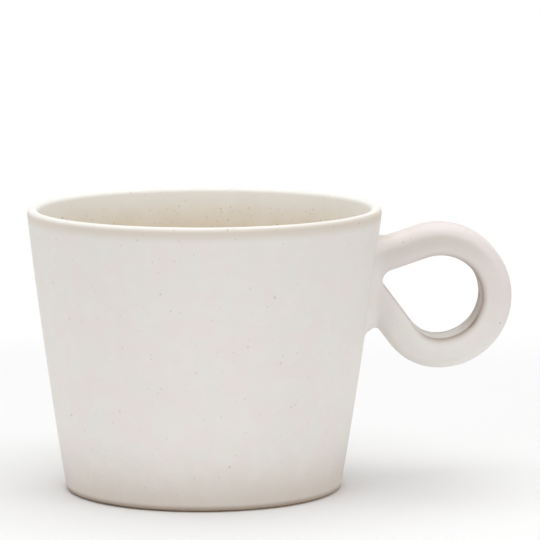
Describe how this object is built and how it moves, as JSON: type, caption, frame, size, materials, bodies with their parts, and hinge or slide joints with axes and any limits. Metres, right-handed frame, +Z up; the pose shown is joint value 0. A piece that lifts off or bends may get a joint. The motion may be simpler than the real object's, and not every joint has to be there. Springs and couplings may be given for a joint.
{
  "type": "cappuccino cup",
  "caption": "Stoneware cappuccino cup with a tapered wall, a rounded lip, a bare foot ring and a teardrop strap handle, in matt speckled off-white glaze.",
  "frame": {"origin": "on the cup's axis at the foot plane, the centre of the ring that it stands on", "axes": "+Z up along the cup's axis, +X from the axis towards the handle, +Y across the handle"},
  "size_m": [0.1226, 0.0896, 0.0717],
  "materials": {
    "clay": "bare fired stoneware, matt",
    "slip": "fired slip, matt",
    "glaze": "matt off-white glaze with fine brown specks",
    "lining": "satin cream glaze with fine brown specks"
  },
  "bodies": {
    "root": {"cup_body": "clay", "handle": "clay", "luting_slip": "slip", "wall_glaze": "glaze", "lining_glaze": "lining", "handle_glaze": "glaze"}
  },
  "joints": []
}
